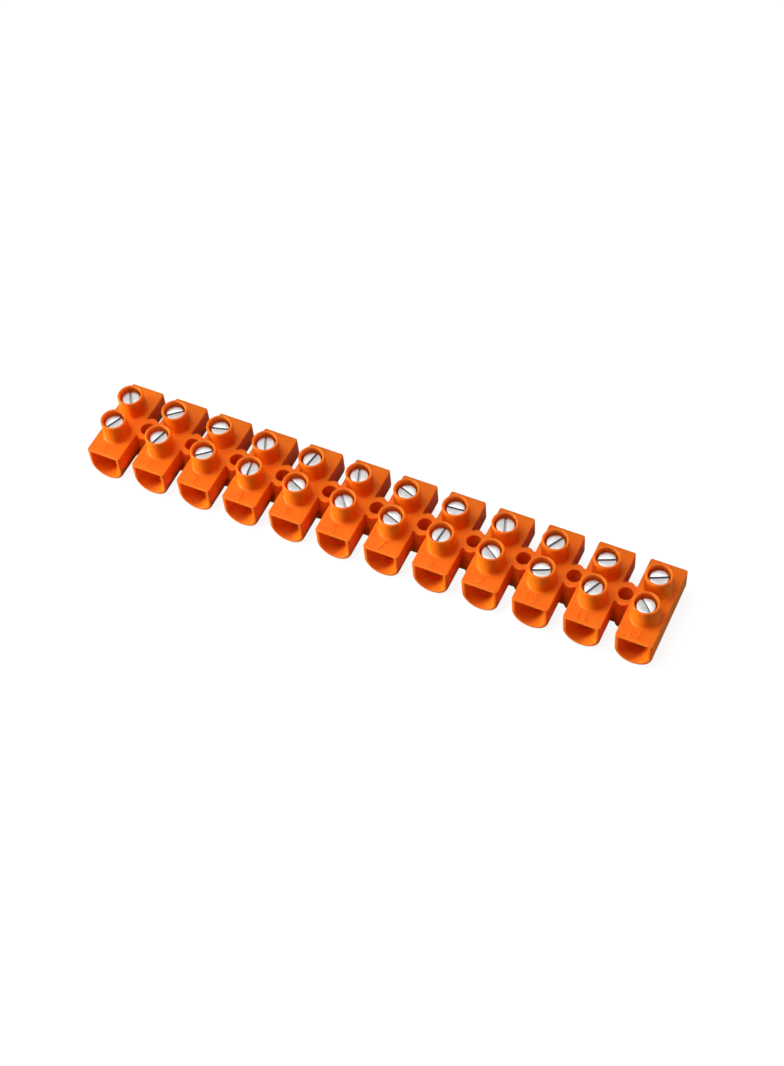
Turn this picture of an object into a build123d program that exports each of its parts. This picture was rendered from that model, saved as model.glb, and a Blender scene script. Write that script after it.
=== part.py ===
from build123d import *
import os

# Twelve-pole screw terminal strip, in millimetres.
# X runs along the row of poles, -Y is the side with the funnel mouths, Z is up.
# The origin is on the mounting surface, below the middle of the strip.

# Row of poles
pole_count = 12
pole_pitch = 12.0
tower_spacing = 7.9

# Terminal tube that carries the wires
wire_bore_radius = 2.1
tube_wall = 1.15
tube_length = 14.0
tube_seat_clearance = 0.05

# Clamp screw
thread_radius = 1.75
thread_clearance = 0.05
head_radius = 2.15
head_height = 1.8
head_recess = 1.2
slot_width = 0.55
slot_depth = 0.8
tip_setback = 0.15

# Turn of each screw's slot away from the row, in degrees, from pole 1 on
front_slot_turns = (65, 75, 40, 100, 155, 130, 160, 85, 145, 25, 65, 135)
rear_slot_turns = (125, 40, 15, 115, 80, 110, 160, 5, 110, 60, 25, 25)

# Moulded arm around each tube
arm_wall = 1.03
arm_height = 8.95
arm_depth = 21.8
arm_top_radius = 0.3
arm_end_chamfer = 0.35

# Mouth at each end of an arm
mouth_side_wall = 0.95
mouth_top_wall = 0.65
mouth_draft = 12.0
collar_thickness = 0.7
collar_clearance = 0.2

# Screw tower
tower_height = 5.3
rim_wall = 0.58
head_clearance = 0.35
tower_flare = 0.05
tower_skirt = 0.45

# Web and fixing hole between two arms
web_depth = 5.3
web_lift = 0.5
lobe_height = 0.6
lobe_radius = 1.5
lobe_corner_radius = 0.3
foot_wall = 0.8
fixing_hole_radius = 1.65

# Sizes that follow from those above
tube_radius = wire_bore_radius + tube_wall
seat_radius = tube_radius + tube_seat_clearance
arm_radius = seat_radius + arm_wall
axis_z = arm_radius
rim_z = arm_height + tower_height
tower_bore_radius = head_radius + head_clearance
tower_rim_radius = tower_bore_radius + rim_wall
tower_base_radius = tower_rim_radius + tower_flare
mouth_half_width = arm_radius - mouth_side_wall
mouth_top_z = arm_height - mouth_top_wall
mouth_depth = (arm_depth - tube_length) / 2 - collar_thickness
collar_radius = wire_bore_radius + collar_clearance
thread_hole_radius = thread_radius + thread_clearance
head_top_z = rim_z - head_recess
head_under_z = head_top_z - head_height
tip_z = axis_z + wire_bore_radius + tip_setback


def row_places(count, pitch):
    """X of each of count places, pitch apart and centred on the origin."""
    return [(i - (count - 1) / 2) * pitch for i in range(count)]


def u_section(half_width, top_z):
    """Upright section of an arm or mouth: flat top, straight sides, half-round bottom about the tube axis."""
    outline = Polyline(
        (half_width, axis_z),
        (half_width, top_z),
        (-half_width, top_z),
        (-half_width, axis_z),
    )
    outline += ThreePointArc((-half_width, axis_z), (0, axis_z - half_width), (half_width, axis_z))
    return Plane.XZ * make_face(outline)


def y_cylinder(radius, front_y, rear_y):
    """Cylinder on the tube axis, from front_y to rear_y."""
    disc = Plane.XZ.offset(-front_y) * Pos(0, axis_z) * Circle(radius)
    return extrude(disc, amount=front_y - rear_y)


def arm_body():
    """One arm with its edges eased and nothing cut from it yet."""
    body = extrude(u_section(arm_radius, arm_height), amount=arm_depth / 2, both=True)
    end_edges = [
        edge
        for edge in body.edges()
        if abs(abs(edge.center().Y) - arm_depth / 2) < arm_end_chamfer / 10
        and edge.center().Z < arm_height - arm_end_chamfer / 10
    ]
    body = chamfer(end_edges, arm_end_chamfer)
    top_edges = body.edges().filter_by(Axis.Y).group_by(Axis.Z)[-1]
    return fillet(top_edges, arm_top_radius)


def tower_body():
    """A tower that narrows upwards from a skirt."""
    slope = tower_flare / tower_height
    outline = Polyline(
        (0, arm_height - tower_skirt),
        (tower_base_radius + tower_skirt, arm_height - tower_skirt),
        (tower_base_radius + tower_skirt, arm_height),
        (tower_base_radius - slope * tower_skirt, arm_height + tower_skirt),
        (tower_rim_radius, rim_z),
        (0, rim_z),
        close=True,
    )
    return revolve(Plane.XZ * make_face(outline), Axis.Z)


def tower_bore():
    """The screw's way down from the rim to the tube."""
    return Pos(0, 0, axis_z) * extrude(Circle(tower_bore_radius), amount=2 * rim_z)


def mouth_funnel(side):
    """The tapering mouth at the front (side -1) or the rear (side 1) of an arm."""
    section = u_section(mouth_half_width, mouth_top_z)
    funnel = extrude(section, amount=mouth_depth, taper=mouth_draft, dir=(0, -1, 0))
    funnel = Pos(0, arm_depth / 2, 0) * funnel
    return funnel if side > 0 else funnel.mirror(Plane.XZ)


def pole_cavity():
    """All that is hollow in one pole: the tube's seat, both mouths, the collar's hole and the screw bores."""
    hollow = y_cylinder(seat_radius, -tube_length / 2, arm_depth / 2)
    hollow += y_cylinder(collar_radius, -arm_depth / 2, 0)
    hollow += [mouth_funnel(-1), mouth_funnel(1)]
    hollow += [Pos(0, y, 0) * tower_bore() for y in row_places(2, tower_spacing)]
    return hollow


def pole_body(hollow):
    """One arm with its two towers, hollowed out."""
    solid = arm_body() + [Pos(0, y, 0) * tower_body() for y in row_places(2, tower_spacing)]
    return solid - hollow


def web_body(hollow):
    """The web between two arms, with a lobe at its front and rear, a low foot and the fixing hole."""
    lobe_y = web_depth / 2 + lobe_height - lobe_radius
    lobes = [Pos(0, y) * Circle(lobe_radius) for y in (-lobe_y, lobe_y)]
    plan = Rectangle(pole_pitch - arm_wall, web_depth) + lobes
    inner_corners = [v for v in plan.vertices() if abs(v.X) < lobe_radius]
    plan = fillet(inner_corners, lobe_corner_radius)
    web = Pos(0, 0, web_lift) * extrude(plan, amount=arm_height - web_lift)
    foot = Circle(fixing_hole_radius + foot_wall) + lobes
    web += extrude(foot, amount=2 * web_lift)
    web -= Pos(0, 0, arm_height / 2) * Cylinder(fixing_hole_radius, 2 * arm_height)
    for neighbour_x in row_places(2, pole_pitch):
        web -= Pos(neighbour_x, 0, 0) * hollow
    return web


def housing():
    """The one-piece moulding: every arm, tower and web of the strip."""
    hollow = pole_cavity()
    pole = pole_body(hollow)
    web = web_body(hollow)
    poles = [Pos(x, 0, 0) * pole for x in row_places(pole_count, pole_pitch)]
    webs = [Pos(x, 0, 0) * web for x in row_places(pole_count - 1, pole_pitch)]
    return poles[0].fuse(*poles[1:], *webs)


def terminal_tube():
    """A turned tube with two threaded cross holes in its top wall."""
    tube = y_cylinder(tube_radius, -tube_length / 2, tube_length / 2)
    tube -= y_cylinder(wire_bore_radius, -tube_length, tube_length)
    for y in row_places(2, tower_spacing):
        tube -= Pos(0, y, axis_z) * extrude(Circle(thread_hole_radius), amount=tube_length)
    return tube


def clamp_screw():
    """A cheese-head screw with a straight slot, backed out so that the wire bore is open."""
    outline = Polyline(
        (0, tip_z),
        (thread_radius, tip_z),
        (thread_radius, head_under_z),
        (head_radius, head_under_z),
        (head_radius, head_top_z),
        (0, head_top_z),
        close=True,
    )
    screw = revolve(Plane.XZ * make_face(outline), Axis.Z)
    slot = Pos(0, 0, head_top_z) * Box(4 * head_radius, slot_width, 2 * slot_depth)
    return screw - slot


def write_nodes():
    """Write each separate piece to its own file in parts."""
    os.makedirs("parts", exist_ok=True)
    export_step(housing(), "parts/housing.step")
    tube = terminal_tube()
    screw = clamp_screw()
    front_y, rear_y = row_places(2, tower_spacing)
    for pole, x in enumerate(row_places(pole_count, pole_pitch)):
        number = f"{pole + 1:02d}"
        front_turn = front_slot_turns[pole % len(front_slot_turns)]
        rear_turn = rear_slot_turns[pole % len(rear_slot_turns)]
        front_screw = Pos(x, front_y, 0) * Rot(0, 0, front_turn) * screw
        rear_screw = Pos(x, rear_y, 0) * Rot(0, 0, rear_turn) * screw
        export_step(Pos(x, 0, 0) * tube, f"parts/terminal_tube_{number}.step")
        export_step(front_screw, f"parts/clamp_screw_front_{number}.step")
        export_step(rear_screw, f"parts/clamp_screw_rear_{number}.step")


write_nodes()
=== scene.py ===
"""A twelve-pole screw terminal strip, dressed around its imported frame.

Lengths are in metres, in the frame of the solids: X runs along the row of poles,
-Y is the side with the funnel mouths, Z is up and zero is the mounting surface.
"""

import logging
import math
from collections.abc import Callable, Iterable, Sequence
from dataclasses import dataclass, field
from enum import Enum

import bmesh
import bpy
from mathutils import Matrix, Vector


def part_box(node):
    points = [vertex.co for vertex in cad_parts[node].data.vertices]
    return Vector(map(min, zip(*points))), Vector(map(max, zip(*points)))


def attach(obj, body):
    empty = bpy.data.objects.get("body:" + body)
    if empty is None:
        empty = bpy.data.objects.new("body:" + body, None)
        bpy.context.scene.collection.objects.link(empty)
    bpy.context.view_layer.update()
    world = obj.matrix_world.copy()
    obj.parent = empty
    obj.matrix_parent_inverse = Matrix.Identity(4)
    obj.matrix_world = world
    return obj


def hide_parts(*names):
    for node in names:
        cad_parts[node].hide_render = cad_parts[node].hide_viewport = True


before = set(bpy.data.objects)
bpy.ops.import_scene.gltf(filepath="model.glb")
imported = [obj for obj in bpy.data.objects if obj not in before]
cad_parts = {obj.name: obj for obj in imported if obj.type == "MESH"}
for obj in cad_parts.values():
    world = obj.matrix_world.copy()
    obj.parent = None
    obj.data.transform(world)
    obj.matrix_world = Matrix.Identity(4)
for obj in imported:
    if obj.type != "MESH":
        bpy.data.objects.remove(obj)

MM = 0.001
QUARTER_TURN = math.pi / 2
HALF_TURN = math.pi
FULL_TURN = 2 * math.pi
ORIGIN = (0.0, 0.0, 0.0)
ALONG_Y = (0.0, 1.0, 0.0)
UP = (0.0, 0.0, 1.0)
POLE_COUNT = 12
# How many straight pieces a rounded lip, a fillet and a lobe are drawn with
LIP_STEPS = 4
FILLET_STEPS = 5
LOBE_STEPS = 16
# Points closer together than this are one point
HAIR = 1e-6
# How far a cutting tool runs past what it cuts
RUN_OUT = 1.0 * MM
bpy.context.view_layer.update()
LOG = logging.getLogger("terminal_strip")

Point = Sequence[float]
Triple = tuple[float, float, float]


class Combine(Enum):
    """What one closed shell does to another."""

    ADD = "UNION"
    CUT = "DIFFERENCE"


class Side(Enum):
    """The two sides of the row, with the direction of each along Y."""

    FRONT = -1
    REAR = 1


def release_all() -> None:
    """Leave edit mode and deselect every object."""
    if bpy.context.object and bpy.context.object.mode != "OBJECT":
        bpy.ops.object.mode_set(mode="OBJECT")
    bpy.ops.object.select_all(action="DESELECT")


def take(piece: bpy.types.Object) -> None:
    """Make a piece the only selected object and the active one.

    Args:
        piece: The object to work on.
    """
    release_all()
    piece.select_set(True)
    bpy.context.view_layer.objects.active = piece


def apply_place(piece: bpy.types.Object) -> None:
    """Put a piece's own place, turn and size into its mesh.

    Args:
        piece: The object to work on.
    """
    take(piece)
    bpy.ops.object.transform_apply(location=True, rotation=True, scale=True)


def moved(piece: bpy.types.Object, place: Point) -> bpy.types.Object:
    """Move a piece and put the move into its mesh.

    Args:
        piece: The piece to move.
        place: Where its origin goes.

    Returns:
        The piece.
    """
    piece.location = place
    apply_place(piece)
    return piece


def copy_of(pattern: bpy.types.Object, name: str) -> bpy.types.Object:
    """Copy a piece with its mesh.

    Args:
        pattern: The piece to copy.
        name: The name of the copy.

    Returns:
        The copy, in the scene.
    """
    copy = pattern.copy()
    copy.data = pattern.data.copy()
    copy.name = name
    bpy.context.collection.objects.link(copy)
    return copy


def dress(piece: bpy.types.Object, *materials: bpy.types.Material) -> None:
    """Give a piece its materials.

    Args:
        piece: The piece to dress.
        materials: Its materials; the first is on every face so far.
    """
    piece.data.materials.clear()
    for material in materials:
        piece.data.materials.append(material)


def finish_shell() -> None:
    """Merge doubles of the mesh in edit mode, point its faces outwards and leave edit mode."""
    bpy.ops.mesh.select_all(action="SELECT")
    bpy.ops.mesh.remove_doubles(threshold=HAIR)
    bpy.ops.mesh.normals_make_consistent(inside=False)
    bpy.ops.object.mode_set(mode="OBJECT")


def round_edges(
    piece: bpy.types.Object,
    wanted: Callable[[bmesh.types.BMEdge], bool],
    width: float,
    segments: int,
) -> None:
    """Round those edges of a piece that pass a test.

    Args:
        piece: The piece that is rounded.
        wanted: The test that each edge is given.
        width: How far the rounding reaches from each edge.
        segments: How many strips it has.
    """
    take(piece)
    bpy.ops.object.mode_set(mode="EDIT")
    bpy.ops.mesh.select_mode(type="EDGE")
    bpy.ops.mesh.select_all(action="DESELECT")
    shell = bmesh.from_edit_mesh(piece.data)
    chosen = [edge for edge in shell.edges if wanted(edge)]
    for edge in chosen:
        edge.select = True
    shell.select_flush_mode()
    bmesh.update_edit_mesh(piece.data)
    bpy.ops.mesh.bevel(
        offset=width,
        offset_type="OFFSET",
        segments=segments,
        profile=0.5,
        affect="EDGES",
    )
    bpy.ops.object.mode_set(mode="OBJECT")


def combine(target: bpy.types.Object, other: bpy.types.Object, how: Combine) -> None:
    """Add one closed shell to another, or cut it out, and remove it.

    Args:
        target: The piece that changes.
        other: The piece that is added or cut out, and deleted.
        how: Whether it is added or cut out.
    """
    take(target)
    step = target.modifiers.new("combine", "BOOLEAN")
    step.operation = how.value
    step.solver = "MANIFOLD"
    step.object = other
    bpy.ops.object.modifier_apply(modifier=step.name)
    bpy.data.objects.remove(other, do_unlink=True)


def row_of(pattern: bpy.types.Object, places: Iterable[float], name: str) -> bpy.types.Object:
    """Copy a pattern to places along the row and join the copies.

    Args:
        pattern: The piece at x = 0, which is deleted.
        places: The x of each copy.
        name: The name of the joined piece.

    Returns:
        One object at the origin with every copy in its mesh.
    """
    copies = []
    for x in places:
        copy = copy_of(pattern, name)
        copy.location.x = x
        copies.append(copy)
    bpy.data.objects.remove(pattern, do_unlink=True)
    row = copies[0]
    take(row)
    for copy in copies:
        copy.select_set(True)
    bpy.ops.object.join()
    apply_place(row)
    return row


def smooth(piece: bpy.types.Object, angle: float) -> None:
    """Shade a piece smoothly across its flatter edges, with its large faces kept flat.

    Args:
        piece: The finished piece.
        angle: The sharpest angle that is shaded smoothly.
    """
    take(piece)
    bpy.ops.object.shade_smooth_by_angle(angle=angle)
    weighted = piece.modifiers.new("weighted", "WEIGHTED_NORMAL")
    weighted.keep_sharp = True
    bpy.ops.object.modifier_apply(modifier=weighted.name)


class Sketch:
    """An outline drawn point by point in edit mode, then pulled or turned into a shell."""

    def __init__(self, name: str, start: Point) -> None:
        """Start with one vertex.

        Args:
            name: The name of the new object.
            start: Where the outline starts.
        """
        release_all()
        bpy.ops.mesh.primitive_plane_add(size=MM)
        self.piece = bpy.context.object
        self.piece.name = name
        bpy.ops.object.mode_set(mode="EDIT")
        bpy.ops.mesh.select_mode(type="VERT")
        bpy.ops.mesh.select_all(action="SELECT")
        bpy.ops.mesh.merge(type="CENTER")
        bpy.ops.transform.translate(value=start)
        self.pen = Vector(start)

    def line_to(self, *points: Point) -> "Sketch":
        """Draw straight lines.

        Args:
            points: The points that the outline goes on to.

        Returns:
            The sketch.
        """
        for point in points:
            move = Vector(point) - self.pen
            bpy.ops.mesh.extrude_region_move(TRANSFORM_OT_translate={"value": move})
            self.pen = Vector(point)
        return self

    def arc(self, centre: Point, angle: float, steps: int, axis: Point) -> "Sketch":
        """Draw an arc.

        Args:
            centre: The centre of the arc.
            angle: How far it turns about the axis.
            steps: How many straight pieces it has.
            axis: The axis it turns about.

        Returns:
            The sketch.
        """
        middle = Vector(centre)
        points = []
        for step in range(1, steps + 1):
            turn = Matrix.Rotation(angle * step / steps, 3, Vector(axis))
            points.append(middle + turn @ (self.pen - middle))
        return self.line_to(*points)

    def fill(self) -> None:
        """Close the outline and fill it."""
        bpy.ops.mesh.select_all(action="SELECT")
        bpy.ops.mesh.remove_doubles(threshold=HAIR)
        bpy.ops.mesh.edge_face_add()

    def pull(self, way: Point) -> bpy.types.Object:
        """Close the outline, fill it and pull it into a closed shell.

        Args:
            way: How far and which way it is pulled.

        Returns:
            The shell.
        """
        self.fill()
        bpy.ops.mesh.extrude_region_move(TRANSFORM_OT_translate={"value": way})
        return self.close()

    def turn(self, centre: Point, axis: Point, steps: int) -> bpy.types.Object:
        """Turn the outline right round an axis into a closed shell.

        Args:
            centre: A point on the axis.
            axis: The direction of the axis.
            steps: How many facets the turned piece has.

        Returns:
            The shell.
        """
        bpy.ops.mesh.select_all(action="SELECT")
        bpy.ops.mesh.spin(steps=steps, angle=FULL_TURN, center=centre, axis=axis)
        return self.close()

    def close(self) -> bpy.types.Object:
        """Finish the shell that is drawn, and return it."""
        finish_shell()
        return self.piece


@dataclass(frozen=True)
class RowPlan:
    """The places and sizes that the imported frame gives."""

    pole_x: tuple[float, ...]
    tower_y: dict[Side, float]
    axis_z: float
    arm_radius: float
    arm_depth: float
    rim_z: float
    tube_radius: float
    tube_length: float
    head_radius: float
    head_top_z: float
    tip_z: float

    @classmethod
    def from_frame(cls) -> "RowPlan":
        """Measure the solids in the frame.

        Returns:
            The plan of the row.
        """
        tubes = [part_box(f"terminal_tube_{number:02d}") for number in range(1, POLE_COUNT + 1)]
        pole_x = tuple((low.x + high.x) / 2 for low, high in tubes)
        tube_low, tube_high = tubes[0]
        strip_low, strip_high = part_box("housing")
        screws = {side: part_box(f"clamp_screw_{side.name.lower()}_01") for side in Side}
        screw_low, screw_high = screws[Side.FRONT]
        return cls(
            pole_x=pole_x,
            tower_y={side: (low.y + high.y) / 2 for side, (low, high) in screws.items()},
            axis_z=(tube_low.z + tube_high.z) / 2,
            arm_radius=strip_high.x - pole_x[-1],
            arm_depth=strip_high.y - strip_low.y,
            rim_z=strip_high.z,
            tube_radius=(tube_high.z - tube_low.z) / 2,
            tube_length=tube_high.y - tube_low.y,
            head_radius=(screw_high.x - screw_low.x) / 2,
            head_top_z=screw_high.z,
            tip_z=screw_low.z,
        )

    @property
    def web_x(self) -> tuple[float, ...]:
        """The x of each web, midway between two poles."""
        return tuple((a + b) / 2 for a, b in zip(self.pole_x, self.pole_x[1:]))

    @property
    def pitch(self) -> float:
        """The distance from pole to pole."""
        return self.pole_x[1] - self.pole_x[0]


class NodeBench:
    """A material's node tree, built node by node."""

    def __init__(self, name: str) -> None:
        """Start an empty surface.

        Args:
            name: The name of the material.
        """
        self.material = bpy.data.materials.new(name)
        self.material.use_nodes = True
        self.tree = self.material.node_tree
        self.tree.nodes.clear()
        self.shader = self.add("ShaderNodeBsdfPrincipled")
        output = self.add("ShaderNodeOutputMaterial")
        self.join(self.shader.outputs["BSDF"], output.inputs["Surface"])
        self.place = self.add("ShaderNodeTexCoord").outputs["Object"]

    def add(self, kind: str, **values: object) -> bpy.types.Node:
        """Add a node.

        Args:
            kind: The node's type.
            values: Its own settings, and its inputs by name with underscores for spaces.

        Returns:
            The node.
        """
        node = self.tree.nodes.new(kind)
        for key, value in values.items():
            socket = node.inputs.get(key.replace("_", " "))
            if socket is not None:
                socket.default_value = value
            else:
                setattr(node, key, value)
        return node

    def join(self, source: bpy.types.NodeSocket, target: bpy.types.NodeSocket) -> None:
        """Link two sockets."""
        self.tree.links.new(source, target)

    def stretched(self, scale: Point, turn: float = 0.0) -> bpy.types.NodeSocket:
        """Object coordinates, turned about Z and stretched.

        Args:
            scale: The scale along each axis.
            turn: The turn about Z.

        Returns:
            The socket with the coordinates.
        """
        mapping = self.add("ShaderNodeMapping", Scale=scale, Rotation=(0.0, 0.0, turn))
        self.join(self.place, mapping.inputs["Vector"])
        return mapping.outputs["Vector"]

    def noise(
        self,
        scale: float,
        detail: float,
        roughness: float,
        where: bpy.types.NodeSocket | None = None,
    ) -> bpy.types.NodeSocket:
        """A noise pattern.

        Args:
            scale: How many features there are to a metre.
            detail: How many finer layers it has.
            roughness: How strong those are.
            where: Its coordinates, or the object's own.

        Returns:
            The socket with its value.
        """
        pattern = self.add("ShaderNodeTexNoise", Scale=scale, Detail=detail, Roughness=roughness)
        self.join(where or self.place, pattern.inputs["Vector"])
        return pattern.outputs["Fac"]

    def spread(self, value: bpy.types.NodeSocket, low: Point, high: Point) -> bpy.types.NodeSocket:
        """Map a value from one range to another.

        Args:
            value: The socket that is mapped.
            low: The value that comes in at the low end, and what goes out.
            high: The value that comes in at the high end, and what goes out.

        Returns:
            The mapped socket.
        """
        ramp = self.add("ShaderNodeMapRange")
        for name, number in zip(("From Min", "To Min", "From Max", "To Max"), (*low, *high)):
            ramp.inputs[name].default_value = number
        self.join(value, ramp.inputs["Value"])
        return ramp.outputs["Result"]

    def colour(self, amount: bpy.types.NodeSocket, first: Point, second: Point) -> None:
        """Give the shader a mix of two colours.

        Args:
            amount: How much of the second there is.
            first: The first colour.
            second: The second colour.
        """
        mix = self.add("ShaderNodeMix", data_type="RGBA")
        ends = [socket for socket in mix.inputs if socket.type == "RGBA"]
        for socket, tone in zip(ends, (first, second)):
            socket.default_value = (*tone, 1.0)
        self.join(amount, mix.inputs["Factor"])
        mixed = next(socket for socket in mix.outputs if socket.type == "RGBA")
        self.join(mixed, self.shader.inputs["Base Color"])

    def polish(self, haze: bpy.types.NodeSocket, low: float, high: float) -> None:
        """Let a pattern vary the shader's roughness.

        Args:
            haze: The pattern.
            low: The roughness where it is weak.
            high: The roughness where it is strong.
        """
        self.join(self.spread(haze, (0.3, low), (0.7, high)), self.shader.inputs["Roughness"])

    def bump(self, height: bpy.types.NodeSocket, distance: float, strength: float) -> None:
        """Add a bump below those that the shader already has.

        Args:
            height: The socket with the height.
            distance: How deep it is.
            strength: How much of it shows.
        """
        node = self.add("ShaderNodeBump", Strength=strength, Distance=distance)
        self.join(height, node.inputs["Height"])
        socket = self.shader.inputs["Normal"]
        if socket.is_linked:
            self.join(socket.links[0].from_socket, node.inputs["Normal"])
        self.join(node.outputs["Normal"], socket)


@dataclass(frozen=True)
class MouldedPlastic:
    """Semi-gloss orange plastic, with flow marks, fine grain and light scuffs."""

    tone: Triple = (0.97, 0.195, 0.005)
    flow_tone: Triple = (0.94, 0.170, 0.004)
    flow_scale: float = 220.0
    flow_stretch: Triple = (1.0, 2.2, 1.4)
    gloss_low: float = 0.35
    gloss_high: float = 0.48
    haze_scale: float = 1300.0
    refraction: float = 1.5
    mirror_share: float = 0.15
    glow: float = 0.7
    glow_depth: float = 1.5 * MM
    glow_reach: Triple = (1.0, 0.22, 0.04)
    grain_scale: float = 5200.0
    grain_depth: float = 0.010 * MM
    wave_scale: float = 420.0
    wave_depth: float = 0.035 * MM
    scuff_scale: float = 900.0
    scuff_stretch: Triple = (0.35, 3.0, 1.0)
    scuff_turn: float = 0.5
    scuff_depth: float = 0.006 * MM

    def material(self) -> bpy.types.Material:
        """Build the material.

        Returns:
            The material.
        """
        bench = NodeBench("orange_moulded_plastic")
        flow = bench.noise(self.flow_scale, 3.0, 0.5, bench.stretched(self.flow_stretch))
        bench.colour(bench.spread(flow, (0.35, 0.0), (0.7, 1.0)), self.tone, self.flow_tone)
        bench.polish(bench.noise(self.haze_scale, 4.0, 0.6), self.gloss_low, self.gloss_high)
        for name, value in {
            "IOR": self.refraction,
            "Specular IOR Level": self.mirror_share,
            "Subsurface Weight": self.glow,
            "Subsurface Radius": self.glow_reach,
            "Subsurface Scale": self.glow_depth,
        }.items():
            bench.shader.inputs[name].default_value = value
        bench.bump(bench.noise(self.grain_scale, 4.0, 0.6), self.grain_depth, 0.5)
        bench.bump(bench.noise(self.wave_scale, 2.0, 0.5), self.wave_depth, 0.6)
        streaks = bench.stretched(self.scuff_stretch, self.scuff_turn)
        scuffs = bench.noise(self.scuff_scale, 5.0, 0.7, streaks)
        bench.bump(bench.spread(scuffs, (0.62, 0.0), (0.72, 1.0)), self.scuff_depth, 0.6)
        return bench.material


@dataclass(frozen=True)
class PlatedSteel:
    """Zinc-plated steel with the fine scratches that screws get in a hopper."""

    name: str = "zinc_plated_steel"
    tone: Triple = (0.63, 0.63, 0.625)
    dull_tone: Triple = (0.50, 0.50, 0.50)
    gloss_low: float = 0.26
    gloss_high: float = 0.36
    cloud_scale: float = 500.0
    haze_scale: float = 2400.0
    scratch_scale: float = 6500.0
    scratch_depth: float = 0.005 * MM
    scratch_turns: Triple = (0.4, 1.9, 2.7)
    scratch_stretches: Triple = (0.06, 0.05, 0.09)

    def material(self) -> bpy.types.Material:
        """Build the material.

        Returns:
            The material.
        """
        bench = NodeBench(self.name)
        bench.shader.inputs["Metallic"].default_value = 1.0
        cloud = bench.noise(self.cloud_scale, 4.0, 0.6)
        bench.colour(bench.spread(cloud, (0.4, 0.0), (0.7, 1.0)), self.tone, self.dull_tone)
        bench.polish(bench.noise(self.haze_scale, 4.0, 0.65), self.gloss_low, self.gloss_high)
        for turn, stretch in zip(self.scratch_turns, self.scratch_stretches):
            along = bench.stretched((stretch, 1.0, 1.0), turn)
            lines = bench.noise(self.scratch_scale, 2.0, 0.5, along)
            bench.bump(bench.spread(lines, (0.55, 0.0), (0.68, 1.0)), self.scratch_depth, 0.4)
        return bench.material


@dataclass(frozen=True)
class PlatedBrass:
    """Turned brass under dull nickel, with faint rings from the tool."""

    tone: Triple = (0.72, 0.66, 0.52)
    dull_tone: Triple = (0.56, 0.49, 0.36)
    gloss_low: float = 0.26
    gloss_high: float = 0.42
    cloud_scale: float = 700.0
    haze_scale: float = 2600.0
    ring_pitch: float = 0.18 * MM
    ring_wobble: float = 0.6
    ring_depth: float = 0.006 * MM

    def material(self) -> bpy.types.Material:
        """Build the material.

        Returns:
            The material.
        """
        bench = NodeBench("dull_nickel_on_brass")
        bench.shader.inputs["Metallic"].default_value = 1.0
        cloud = bench.noise(self.cloud_scale, 4.0, 0.6)
        bench.colour(bench.spread(cloud, (0.35, 0.0), (0.7, 1.0)), self.tone, self.dull_tone)
        bench.polish(bench.noise(self.haze_scale, 3.0, 0.6), self.gloss_low, self.gloss_high)
        ring_scale = 1.0 / (self.ring_pitch * FULL_TURN)
        rings = bench.add("ShaderNodeTexWave", Scale=ring_scale, Distortion=self.ring_wobble)
        rings.bands_direction = "Y"
        bench.join(bench.place, rings.inputs["Vector"])
        bench.bump(rings.outputs["Fac"], self.ring_depth, 0.5)
        return bench.material


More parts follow.
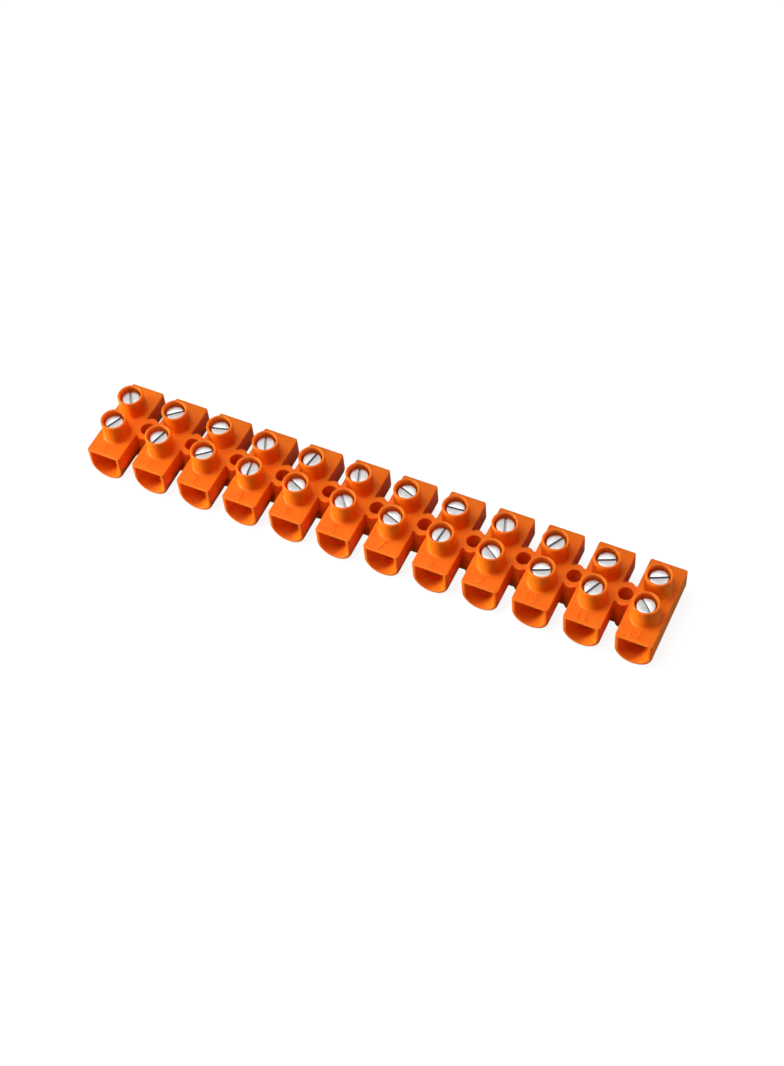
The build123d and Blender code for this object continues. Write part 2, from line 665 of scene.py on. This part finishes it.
@dataclass(frozen=True)
class Housing:
    """The one-piece moulding: arms, towers, webs and the raised pole numbers."""

    plan: RowPlan
    arm_top: float = 8.95 * MM
    end_rounding: float = 0.5 * MM
    top_rounding: float = 0.28 * MM
    tower_base_radius: float = 3.13 * MM
    tower_rim_radius: float = 3.08 * MM
    tower_fillet: float = 0.5 * MM
    tower_sink: float = 0.3 * MM
    rim_rounding: float = 0.24 * MM
    bore_radius: float = 2.5 * MM
    bore_lip: float = 0.28 * MM
    seat_radius: float = 3.3 * MM
    collar_radius: float = 2.3 * MM
    collar_thickness: float = 0.7 * MM
    mouth_half_width: float = 3.38 * MM
    mouth_top: float = 8.3 * MM
    mouth_lip: float = 0.16 * MM
    mouth_draft: float = math.radians(12.0)
    web_half_depth: float = 2.65 * MM
    web_lift: float = 0.5 * MM
    web_sink: float = 0.01 * MM
    web_inset: float = 0.5 * MM
    web_rounding: float = 0.2 * MM
    lobe_radius: float = 1.5 * MM
    lobe_y: float = 1.75 * MM
    lobe_corner: float = 0.3 * MM
    lobe_base: float = 1.2 * MM
    foot_radius: float = 2.45 * MM
    foot_top: float = 1.0 * MM
    foot_ease: float = 0.08 * MM
    hole_radius: float = 1.65 * MM
    hole_lip: float = 0.18 * MM
    digit_size: float = 3.25 * MM
    digit_height: float = 0.10 * MM
    digit_ease: float = 0.05 * MM
    digit_base_y: float = -10.2 * MM
    digit_x: float = -0.6 * MM
    smooth_below: float = math.radians(32.0)
    facets: int = 64
    hole_facets: int = 48
    finish: MouldedPlastic = MouldedPlastic()

    @property
    def end_y(self) -> float:
        """How far the arms' ends are from the middle of the strip."""
        return self.plan.arm_depth / 2

    def draw_u(self, name: str, half_width: float, top: float, y: float) -> Sketch:
        """Draw the upright section of an arm or mouth.

        Args:
            name: The name of the new object.
            half_width: The radius of its round bottom.
            top: The height of its flat top.
            y: Where along the arm it stands.

        Returns:
            The outline, still open at the top.
        """
        axis_z = self.plan.axis_z
        sketch = Sketch(name, (half_width, y, top))
        sketch.line_to((half_width, y, axis_z))
        sketch.arc((0.0, y, axis_z), HALF_TURN, self.facets // 2, ALONG_Y)
        sketch.line_to((-half_width, y, top))
        return sketch

    def arm(self) -> bpy.types.Object:
        """Model one arm with its ends and top edges rounded.

        Returns:
            The closed shell.
        """
        sketch = self.draw_u("arm", self.plan.arm_radius, self.arm_top, -self.end_y)
        shell = sketch.pull((0.0, self.plan.arm_depth, 0.0))
        round_edges(shell, self.on_arm_end, self.end_rounding, segments=4)
        round_edges(shell, self.around_arm_top, self.top_rounding, segments=3)
        return shell

    def on_arm_end(self, edge: bmesh.types.BMEdge) -> bool:
        """Tell whether an edge is on the outline of an arm's end, its top left out."""
        ends = all(abs(abs(v.co.y) - self.end_y) < HAIR for v in edge.verts)
        return ends and not all(abs(v.co.z - self.arm_top) < HAIR for v in edge.verts)

    def around_arm_top(self, edge: bmesh.types.BMEdge) -> bool:
        """Tell whether an edge runs around an arm's flat top."""
        return all(abs(v.co.z - self.arm_top) < HAIR for v in edge.verts)

    def tower(self) -> bpy.types.Object:
        """Model one tower, with a fillet at its foot and a rounded rim.

        Returns:
            The closed shell, on the Z axis.
        """
        low = self.arm_top - self.tower_sink
        foot_z = self.arm_top - self.web_sink
        foot_radius = self.tower_base_radius + self.tower_fillet
        sketch = Sketch("tower", (0.0, 0.0, low))
        sketch.line_to((foot_radius, 0.0, low), (foot_radius, 0.0, foot_z))
        fillet_centre = (foot_radius, 0.0, foot_z + self.tower_fillet)
        sketch.arc(fillet_centre, QUARTER_TURN, FILLET_STEPS, ALONG_Y)
        rim_low = self.plan.rim_z - self.rim_rounding
        sketch.line_to((self.tower_rim_radius, 0.0, rim_low))
        rim_centre = (self.tower_rim_radius - self.rim_rounding, 0.0, rim_low)
        sketch.arc(rim_centre, -QUARTER_TURN, LIP_STEPS, ALONG_Y)
        sketch.line_to((0.0, 0.0, self.plan.rim_z))
        return sketch.turn(ORIGIN, UP, self.facets)

    def pole(self) -> bpy.types.Object:
        """Model one pole: an arm with its two towers.

        Returns:
            The closed shell, not yet hollow.
        """
        shell = self.arm()
        for y in self.plan.tower_y.values():
            combine(shell, moved(self.tower(), (0.0, y, 0.0)), Combine.ADD)
        return shell

    def bore(self) -> bpy.types.Object:
        """Model what is cut out of a tower, with a lip that rounds the rim.

        Returns:
            The closed shell, on the Z axis.
        """
        return self.lipped_hole(
            "bore", self.bore_radius, self.bore_lip, self.plan.axis_z, self.plan.rim_z, self.facets
        )

    def lipped_hole(
        self, name: str, radius: float, lip: float, low: float, rim: float, facets: int
    ) -> bpy.types.Object:
        """Model what an upright hole takes out, with a lip that rounds its upper edge.

        Args:
            name: The name of the new object.
            radius: The radius of the hole.
            lip: The radius of the rounding.
            low: The bottom of the hole.
            rim: The height of the surface that it opens in.
            facets: How many facets it has.

        Returns:
            The closed shell, on the Z axis.
        """
        wide = radius + lip
        sketch = Sketch(name, (0.0, 0.0, low))
        sketch.line_to((radius, 0.0, low), (radius, 0.0, rim - lip))
        sketch.arc((wide, 0.0, rim - lip), QUARTER_TURN, LIP_STEPS, ALONG_Y)
        sketch.line_to((wide, 0.0, rim + RUN_OUT), (0.0, 0.0, rim + RUN_OUT))
        return sketch.turn(ORIGIN, UP, facets)

    def funnel(self) -> bpy.types.Object:
        """Model what is cut out of the front mouth: a lip, then a taper down to the collar.

        Returns:
            The closed shell.
        """
        lip = self.mouth_lip
        taper = math.tan(self.mouth_draft)
        depth = self.end_y - self.plan.tube_length / 2 - self.collar_thickness
        stations = [(-self.end_y - RUN_OUT, lip), (-self.end_y, lip)]
        for step in range(1, LIP_STEPS):
            angle = QUARTER_TURN * step / LIP_STEPS
            y = -self.end_y + lip * (1 - math.cos(angle))
            stations.append((y, lip * (1 - math.sin(angle))))
        stations.append((-self.end_y + lip, -lip * taper))
        stations.append((-self.end_y + depth, -depth * taper))
        y, growth = stations[0]
        sketch = self.draw_u("funnel", self.mouth_half_width + lip, self.mouth_top + lip, y)
        sketch.fill()
        for next_y, next_growth in stations[1:]:
            way = (0.0, next_y - y, 0.0)
            bpy.ops.mesh.extrude_region_move(TRANSFORM_OT_translate={"value": way})
            self.resize_u(sketch.piece, next_y, growth, next_growth)
            y, growth = next_y, next_growth
        return sketch.close()

    def resize_u(self, piece: bpy.types.Object, y: float, was: float, now: float) -> None:
        """Offset the selected section of a funnel evenly all round.

        Args:
            piece: The funnel, in edit mode with the section selected.
            y: Where the section is.
            was: How far the section stood out from the mouth's own size.
            now: How far it is to stand out.
        """
        axis_z = self.plan.axis_z
        size = (self.mouth_half_width + now) / (self.mouth_half_width + was)
        bpy.ops.transform.resize(value=(size, 1.0, size), center_override=(0.0, y, axis_z))
        top_is = axis_z + (self.mouth_top + was - axis_z) * size
        shell = bmesh.from_edit_mesh(piece.data)
        for vertex in shell.verts:
            if vertex.select and abs(vertex.co.z - top_is) < HAIR:
                vertex.co.z = self.mouth_top + now
        bmesh.update_edit_mesh(piece.data)

    def rod(self, name: str, radius: float, low_y: float, high_y: float) -> bpy.types.Object:
        """Model a plain rod on the tube's axis, to cut with.

        Args:
            name: The name of the new object.
            radius: Its radius.
            low_y: Where it starts.
            high_y: Where it ends.

        Returns:
            The closed shell.
        """
        axis_z = self.plan.axis_z
        sketch = Sketch(name, (0.0, low_y, axis_z))
        sketch.line_to((0.0, low_y, axis_z + radius), (0.0, high_y, axis_z + radius))
        sketch.line_to((0.0, high_y, axis_z))
        return sketch.turn((0.0, 0.0, axis_z), ALONG_Y, self.facets)

    def cavity(self) -> bpy.types.Object:
        """Model all that is hollow in one pole.

        Returns:
            The closed shell.
        """
        tube_end = self.plan.tube_length / 2
        hollow = self.rod("seat", self.seat_radius, -tube_end, self.end_y + RUN_OUT)
        combine(hollow, self.rod("collar", self.collar_radius, -self.end_y, 0.0), Combine.ADD)
        front = self.funnel()
        rear = copy_of(front, "rear_funnel")
        rear.scale = (1.0, -1.0, 1.0)
        apply_place(rear)
        bpy.ops.object.mode_set(mode="EDIT")
        finish_shell()
        combine(hollow, front, Combine.ADD)
        combine(hollow, rear, Combine.ADD)
        for y in self.plan.tower_y.values():
            combine(hollow, moved(self.bore(), (0.0, y, 0.0)), Combine.ADD)
        return hollow

    @property
    def web_top(self) -> float:
        """The height of the webs' tops."""
        return self.arm_top - self.web_sink

    @property
    def web_reach(self) -> float:
        """How far a web's outline goes either way along the row."""
        return self.plan.pitch / 2 - self.web_inset

    def draw_web_side(self, sketch: Sketch, side: Side) -> None:
        """Draw one long side of a web's outline, around its lobe.

        Args:
            sketch: The outline, with its pen where the side starts.
            side: The front, which is drawn towards +X, or the rear, which is drawn back.
        """
        low = self.web_lift
        gap = self.lobe_radius + self.lobe_corner
        corner_y = self.web_half_depth + self.lobe_corner
        lean = math.acos((corner_y - self.lobe_y) / gap)
        corner_x = gap * math.sin(lean)
        out = side.value
        sketch.line_to((out * corner_x, out * self.web_half_depth, low))
        sketch.arc((out * corner_x, out * corner_y, low), -lean, FILLET_STEPS, UP)
        sketch.arc((0.0, out * self.lobe_y, low), 2 * lean, LOBE_STEPS, UP)
        sketch.arc((-out * corner_x, out * corner_y, low), -lean, FILLET_STEPS, UP)
        sketch.line_to((-out * self.web_reach, out * self.web_half_depth, low))

    def along_web_top(self, edge: bmesh.types.BMEdge) -> bool:
        """Tell whether an edge runs along a web's top, where no arm covers it.

        Args:
            edge: The edge to test.

        Returns:
            True for an edge that is to be rounded.
        """
        reach = self.web_reach
        on_top = all(
            abs(v.co.z - self.web_top) < HAIR and abs(v.co.x) <= reach for v in edge.verts
        )
        return on_top and not all(abs(abs(v.co.x) - reach) < HAIR for v in edge.verts)

    def web(self) -> bpy.types.Object:
        """Model the web between two arms, with its lobes, foot and fixing hole.

        Returns:
            The closed shell.
        """
        low = self.web_lift
        sketch = Sketch("web", (-self.web_reach, -self.web_half_depth, low))
        self.draw_web_side(sketch, Side.FRONT)
        sketch.line_to((self.web_reach, self.web_half_depth, low))
        self.draw_web_side(sketch, Side.REAR)
        shell = sketch.pull((0.0, 0.0, self.web_top - low))
        round_edges(shell, self.along_web_top, self.web_rounding, segments=3)
        combine(shell, self.column("foot", self.foot_radius, 0.0, self.foot_top), Combine.ADD)
        for y in (-self.lobe_y, self.lobe_y):
            radius = self.lobe_radius - self.web_sink
            combine(shell, self.column("lobe", radius, y, self.lobe_base), Combine.ADD)
        hole = self.lipped_hole(
            "hole", self.hole_radius, self.hole_lip, -RUN_OUT, self.web_top, self.hole_facets
        )
        combine(shell, hole, Combine.CUT)
        return shell

    def column(self, name: str, radius: float, y: float, top: float) -> bpy.types.Object:
        """Model an upright column that stands on the mounting surface, its foot eased.

        Args:
            name: The name of the new object.
            radius: Its radius.
            y: Where its axis is.
            top: Its height.

        Returns:
            The closed shell.
        """
        ease = self.foot_ease
        sketch = Sketch(name, ORIGIN)
        sketch.line_to((radius - ease, 0.0, 0.0), (radius, 0.0, ease))
        sketch.line_to((radius, 0.0, top), (0.0, 0.0, top))
        return moved(sketch.turn(ORIGIN, UP, self.facets // 2), (0.0, y, 0.0))

    def digits(self, number: int) -> bpy.types.Object:
        """Model one raised pole number, standing on the arm in front of the tower.

        Args:
            number: The pole's number.

        Returns:
            The closed shell.
        """
        release_all()
        bpy.ops.object.text_add(location=ORIGIN)
        text = bpy.context.object
        text.data.body = str(number)
        text.data.size = self.digit_size
        text.data.extrude = self.digit_height
        text.data.bevel_depth = self.digit_ease
        text.data.bevel_resolution = 2
        text.data.align_x = "CENTER"
        text.data.resolution_u = 4
        bpy.ops.object.convert(target="MESH")
        shell = bpy.context.object
        x = self.plan.pole_x[number - 1] + self.digit_x
        moved(shell, (x, self.digit_base_y, self.arm_top))
        bpy.ops.object.mode_set(mode="EDIT")
        finish_shell()
        return shell

    def build(self) -> bpy.types.Object:
        """Model the whole moulding.

        Returns:
            The finished piece.
        """
        strip = row_of(self.pole(), self.plan.pole_x, "moulded_housing")
        combine(strip, row_of(self.web(), self.plan.web_x, "webs"), Combine.ADD)
        combine(strip, row_of(self.cavity(), self.plan.pole_x, "cavities"), Combine.CUT)
        for number in range(1, POLE_COUNT + 1):
            combine(strip, self.digits(number), Combine.ADD)
        smooth(strip, self.smooth_below)
        dress(strip, self.finish.material())
        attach(strip, "strip")
        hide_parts("housing")
        return strip


@dataclass(frozen=True)
class ThreadForm:
    """A thread as a closed helical rod.

    The shares of the pitch are where the root ends, where the crest starts and ends,
    and where the root starts again.
    """

    major: float
    minor: float
    pitch: float
    shares: tuple[float, ...] = (0.15, 0.45, 0.6, 0.9)
    facets: int = 32

    def rod(self, name: str, low_z: float, high_z: float) -> bpy.types.Object:
        """Model the threaded rod on the Z axis.

        Args:
            name: The name of the new object.
            low_z: Its lower end.
            high_z: Its upper end.

        Returns:
            The closed shell.
        """
        start = low_z - self.pitch
        sketch = Sketch(name, (self.minor, 0.0, start))
        radii = (self.minor, self.major, self.major, self.minor)
        for radius, share in zip(radii, self.shares):
            sketch.line_to((radius, 0.0, start + share * self.pitch))
        sketch.line_to((self.minor, 0.0, start + self.pitch))
        bpy.ops.object.mode_set(mode="OBJECT")
        rod = sketch.piece
        take(rod)
        wind = rod.modifiers.new("wind", "SCREW")
        wind.axis = "Z"
        wind.angle = FULL_TURN
        wind.screw_offset = self.pitch
        wind.iterations = math.ceil((high_z - low_z) / self.pitch) + 2
        wind.steps = self.facets
        wind.render_steps = self.facets
        bpy.ops.object.modifier_apply(modifier=wind.name)
        bpy.ops.object.mode_set(mode="EDIT")
        bpy.ops.mesh.select_all(action="SELECT")
        bpy.ops.mesh.remove_doubles(threshold=HAIR)
        for height, lower in ((low_z, True), (high_z, False)):
            bpy.ops.mesh.select_all(action="SELECT")
            bpy.ops.mesh.bisect(
                plane_co=(0.0, 0.0, height),
                plane_no=UP,
                use_fill=True,
                clear_inner=lower,
                clear_outer=not lower,
            )
        return sketch.close()


@dataclass(frozen=True)
class ClampScrews:
    """The twenty-four slotted clamp screws, modelled once and copied with a turn each."""

    plan: RowPlan
    head_height: float = 1.8 * MM
    head_rounding: float = 0.22 * MM
    head_chamfer: float = 0.1 * MM
    slot_width: float = 0.55 * MM
    slot_depth: float = 0.8 * MM
    slot_ease: float = 0.04 * MM
    slot_floor_rounding: float = 0.1 * MM
    slot_tool_length: float = 6.0 * MM
    thread: ThreadForm = ThreadForm(major=1.75 * MM, minor=1.4 * MM, pitch=0.6 * MM)
    thread_overlap: float = 0.3 * MM
    smooth_below: float = math.radians(35.0)
    facets: int = 64
    finish: PlatedSteel = PlatedSteel()
    # Darker, duller steel for the slot's walls and floor: painted shade in the recess, not a
    # different plating
    slot_finish: PlatedSteel = PlatedSteel(
        name="shaded_slot_steel",
        tone=(0.42, 0.42, 0.43),
        dull_tone=(0.33, 0.33, 0.34),
        gloss_low=0.4,
        gloss_high=0.6,
    )
    turns: dict[Side, tuple[float, ...]] = field(
        default_factory=lambda: {
            Side.FRONT: (65, 75, 40, 100, 155, 130, 160, 85, 145, 25, 65, 135),
            Side.REAR: (125, 40, 15, 115, 80, 110, 160, 5, 110, 60, 25, 25),
        }
    )

    def pattern(self) -> bpy.types.Object:
        """Model one screw on the Z axis, its slot along X.

        Returns:
            The closed shell.
        """
        top = self.plan.head_top_z
        radius = self.plan.head_radius
        under = top - self.head_height
        chamfer = self.head_chamfer
        sketch = Sketch("screw", (0.0, 0.0, under))
        sketch.line_to((radius - chamfer, 0.0, under), (radius, 0.0, under + chamfer))
        sketch.line_to((radius, 0.0, top - self.head_rounding))
        centre = (radius - self.head_rounding, 0.0, top - self.head_rounding)
        sketch.arc(centre, -QUARTER_TURN, LIP_STEPS, ALONG_Y)
        sketch.line_to((0.0, 0.0, top))
        screw = sketch.turn(ORIGIN, UP, self.facets)
        thread = self.thread.rod("thread", self.plan.tip_z, under + self.thread_overlap)
        combine(screw, thread, Combine.ADD)
        combine(screw, self.slot_tool(), Combine.CUT)
        round_edges(screw, self.along_slot, self.slot_ease, segments=2)
        return screw

    def slot_tool(self) -> bpy.types.Object:
        """Model what the slot takes out, with its floor's corners rounded.

        Returns:
            The closed shell.
        """
        release_all()
        middle = (0.0, 0.0, self.slot_floor_z + RUN_OUT)
        bpy.ops.mesh.primitive_cube_add(size=1.0, location=middle)
        tool = bpy.context.object
        tool.scale = (self.slot_tool_length, self.slot_width, 2 * RUN_OUT)
        apply_place(tool)
        round_edges(tool, self.along_slot_floor, self.slot_floor_rounding, segments=3)
        return tool

    @property
    def slot_floor_z(self) -> float:
        """The height of the slot's floor."""
        return self.plan.head_top_z - self.slot_depth

    def along_slot_floor(self, edge: bmesh.types.BMEdge) -> bool:
        """Tell whether an edge of the slot's tool is one of its floor's long edges."""
        low = all(abs(v.co.z - self.slot_floor_z) < HAIR for v in edge.verts)
        return low and abs(edge.verts[0].co.y - edge.verts[1].co.y) < HAIR

    def along_slot(self, edge: bmesh.types.BMEdge) -> bool:
        """Tell whether an edge is one of the slot's long upper edges."""
        high = all(abs(v.co.z - self.plan.head_top_z) < HAIR for v in edge.verts)
        return high and all(abs(abs(v.co.y) - self.slot_width / 2) < HAIR for v in edge.verts)

    def in_slot(self, face: bpy.types.MeshPolygon) -> bool:
        """Tell whether a face is a wall or the floor of the slot."""
        inside = abs(face.center.y) <= self.slot_width / 2 + HAIR
        return inside and self.slot_floor_z - HAIR <= face.center.z < self.plan.head_top_z - HAIR

    def build(self) -> list[bpy.types.Object]:
        """Model the pattern and copy it to every tower.

        Returns:
            The twenty-four screws.
        """
        pattern = self.pattern()
        smooth(pattern, self.smooth_below)
        dress(pattern, self.finish.material(), self.slot_finish.material())
        # Faces in the slot take the second material, the darker steel that paints the slot's shade
        for face in pattern.data.polygons:
            face.material_index = int(self.in_slot(face))
        screws = []
        for side, turns in self.turns.items():
            for number, (x, turn) in enumerate(zip(self.plan.pole_x, turns), start=1):
                screw = copy_of(pattern, f"slotted_screw_{side.name.lower()}_{number:02d}")
                screw.rotation_euler.z = math.radians(turn)
                moved(screw, (x, self.plan.tower_y[side], 0.0))
                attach(screw, f"{side.name.lower()}_screw_{number:02d}")
                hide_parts(f"clamp_screw_{side.name.lower()}_{number:02d}")
                screws.append(screw)
        bpy.data.objects.remove(pattern, do_unlink=True)
        return screws


@dataclass(frozen=True)
class TerminalTubes:
    """The twelve turned tubes, with chamfered ends and tapped cross holes."""

    plan: RowPlan
    bore_radius: float = 2.1 * MM
    outer_chamfer: float = 0.2 * MM
    bore_chamfer: float = 0.12 * MM
    tapping: ThreadForm = ThreadForm(major=1.95 * MM, minor=1.79 * MM, pitch=0.6 * MM)
    smooth_below: float = math.radians(32.0)
    facets: int = 64
    finish: PlatedBrass = PlatedBrass()

    def pattern(self) -> bpy.types.Object:
        """Model one tube at x = 0.

        Returns:
            The closed shell.
        """
        axis_z = self.plan.axis_z
        end = self.plan.tube_length / 2
        outer_z = axis_z + self.plan.tube_radius
        bore_z = axis_z + self.bore_radius
        sketch = Sketch("tube", (0.0, -end, bore_z + self.bore_chamfer))
        sketch.line_to(
            (0.0, -end, outer_z - self.outer_chamfer),
            (0.0, -end + self.outer_chamfer, outer_z),
            (0.0, end - self.outer_chamfer, outer_z),
            (0.0, end, outer_z - self.outer_chamfer),
            (0.0, end, bore_z + self.bore_chamfer),
            (0.0, end - self.bore_chamfer, bore_z),
            (0.0, -end + self.bore_chamfer, bore_z),
            (0.0, -end, bore_z + self.bore_chamfer),
        )
        tube = sketch.turn((0.0, 0.0, axis_z), ALONG_Y, self.facets)
        for y in self.plan.tower_y.values():
            tap = self.tapping.rod("tap", axis_z, outer_z + RUN_OUT)
            combine(tube, moved(tap, (0.0, y, 0.0)), Combine.CUT)
        return tube

    def build(self) -> list[bpy.types.Object]:
        """Model the pattern and copy it to every pole.

        Returns:
            The twelve tubes.
        """
        pattern = self.pattern()
        smooth(pattern, self.smooth_below)
        dress(pattern, self.finish.material())
        tubes = []
        for number, x in enumerate(self.plan.pole_x, start=1):
            tube = moved(copy_of(pattern, f"turned_tube_{number:02d}"), (x, 0.0, 0.0))
            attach(tube, "strip")
            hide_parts(f"terminal_tube_{number:02d}")
            tubes.append(tube)
        bpy.data.objects.remove(pattern, do_unlink=True)
        return tubes


@dataclass(frozen=True)
class Lamp:
    """A soft square lamp that faces the strip."""

    name: str
    place: Triple
    size: float
    power: float

    def build(self) -> None:
        """Hang the lamp."""
        light = bpy.data.lights.new(self.name, "AREA")
        light.size = self.size
        light.energy = self.power
        lamp = bpy.data.objects.new(self.name, light)
        bpy.context.collection.objects.link(lamp)
        lamp.location = self.place
        lamp.rotation_euler = Vector(self.place).to_track_quat("Z", "Y").to_euler()


@dataclass(frozen=True)
class Studio:
    """A white sweep, a lamp overhead, low ones on both sides, and the photograph's camera."""

    azimuth: float = 0.533691
    elevation: float = 0.942707
    roll: float = -0.111301
    distance: float = 428.346 * MM
    aim_right: float = 3.469 * MM
    aim_up: float = -5.761 * MM
    aim_z: float = 8.95 * MM
    focal_pixels: float = 1895.026
    image_height: int = 1066
    sensor_size: float = 36.0
    nearest: float = 0.01
    farthest: float = 50.0
    floor_size: float = 6.0
    floor_drop: float = 0.02 * MM
    floor_bounce: float = 0.25
    floor_tone: float = 0.18
    floor_glow: float = 0.90
    ambient: float = 0.07
    overhead: Lamp = Lamp("overhead", (-0.17, -0.06, 0.83), 0.50, 5.5)
    side: Lamp = Lamp("side", (-0.63, -0.36, 0.085), 0.22, 8.3)
    far_side: Lamp = Lamp("far_side", (0.85, 0.15, 0.12), 0.40, 2.3)

    def camera(self) -> None:
        """Add the camera at the photograph's viewing angle."""
        sin_az, cos_az = math.sin(self.azimuth), math.cos(self.azimuth)
        flat, rise = math.cos(self.elevation), math.sin(self.elevation)
        back = Vector((sin_az * flat, -cos_az * flat, rise))
        level = Vector(UP).cross(back).normalized()
        raised = back.cross(level)
        right = math.cos(self.roll) * level + math.sin(self.roll) * raised
        up = math.cos(self.roll) * raised - math.sin(self.roll) * level
        lens = bpy.data.cameras.new("camera")
        lens.sensor_width = self.sensor_size
        lens.lens = self.focal_pixels * self.sensor_size / self.image_height
        lens.clip_start = self.nearest
        lens.clip_end = self.farthest
        eye = bpy.data.objects.new("camera", lens)
        bpy.context.collection.objects.link(eye)
        place = back * self.distance + right * self.aim_right + up * self.aim_up
        place.z += self.aim_z
        facing = Matrix((right, up, back)).transposed().to_4x4()
        eye.matrix_world = Matrix.Translation(place) @ facing
        bpy.context.scene.camera = eye

    def floor(self) -> None:
        """Add the floor, which is white to the eye and darker to the light."""
        release_all()
        place = (0.0, 0.0, -self.floor_drop)
        bpy.ops.mesh.primitive_plane_add(size=self.floor_size, location=place)
        floor = bpy.context.object
        floor.name = "floor"
        material = bpy.data.materials.new("white_sweep")
        material.use_nodes = True
        nodes, links = material.node_tree.nodes, material.node_tree.links
        nodes.clear()
        matt = nodes.new("ShaderNodeBsdfDiffuse")
        glow = nodes.new("ShaderNodeEmission")
        seen = nodes.new("ShaderNodeLightPath")
        for unseen, direct, socket in (
            (self.floor_bounce, self.floor_tone, matt.inputs["Color"]),
            (0.0, self.floor_glow, glow.inputs["Strength"]),
        ):
            level = nodes.new("ShaderNodeMapRange")
            level.inputs["To Min"].default_value = unseen
            level.inputs["To Max"].default_value = direct
            links.new(seen.outputs["Is Camera Ray"], level.inputs["Value"])
            links.new(level.outputs["Result"], socket)
        both = nodes.new("ShaderNodeAddShader")
        links.new(matt.outputs[0], both.inputs[0])
        links.new(glow.outputs[0], both.inputs[1])
        output = nodes.new("ShaderNodeOutputMaterial")
        links.new(both.outputs[0], output.inputs["Surface"])
        floor.data.materials.append(material)

    def world(self) -> None:
        """Make the surroundings white to the eye and in reflections, and dimmer as light."""
        world = bpy.data.worlds.new("studio")
        bpy.context.scene.world = world
        world.use_nodes = True
        nodes, links = world.node_tree.nodes, world.node_tree.links
        nodes.clear()
        seen = nodes.new("ShaderNodeLightPath")
        total = seen.outputs["Is Camera Ray"]
        for name in ("Is Glossy Ray", "Is Transmission Ray"):
            either = nodes.new("ShaderNodeMath")
            either.operation = "MAXIMUM"
            links.new(total, either.inputs[0])
            links.new(seen.outputs[name], either.inputs[1])
            total = either.outputs[0]
        level = nodes.new("ShaderNodeMapRange")
        level.inputs["To Min"].default_value = self.ambient
        level.inputs["To Max"].default_value = 1.0
        links.new(total, level.inputs["Value"])
        sky = nodes.new("ShaderNodeBackground")
        sky.inputs["Color"].default_value = (1.0, 1.0, 1.0, 1.0)
        links.new(level.outputs["Result"], sky.inputs["Strength"])
        output = nodes.new("ShaderNodeOutputWorld")
        links.new(sky.outputs[0], output.inputs["Surface"])

    def build(self) -> None:
        """Set up the camera, the lamps, the floor and the world."""
        bpy.context.scene.view_settings.view_transform = "Standard"
        self.camera()
        for lamp in (self.overhead, self.side, self.far_side):
            lamp.build()
        self.floor()
        self.world()


def main() -> None:
    """Build every piece in order."""
    logging.basicConfig(level=logging.INFO, format="%(message)s")
    plan = RowPlan.from_frame()
    Studio().build()
    LOG.info("studio: camera, lamps, floor and world")
    housing = Housing(plan).build()
    LOG.info("%s: %d faces", housing.name, len(housing.data.polygons))
    for piece in (*ClampScrews(plan).build(), *TerminalTubes(plan).build()):
        LOG.info("%s: %d faces", piece.name, len(piece.data.polygons))


if __name__ == "__main__":
    main()
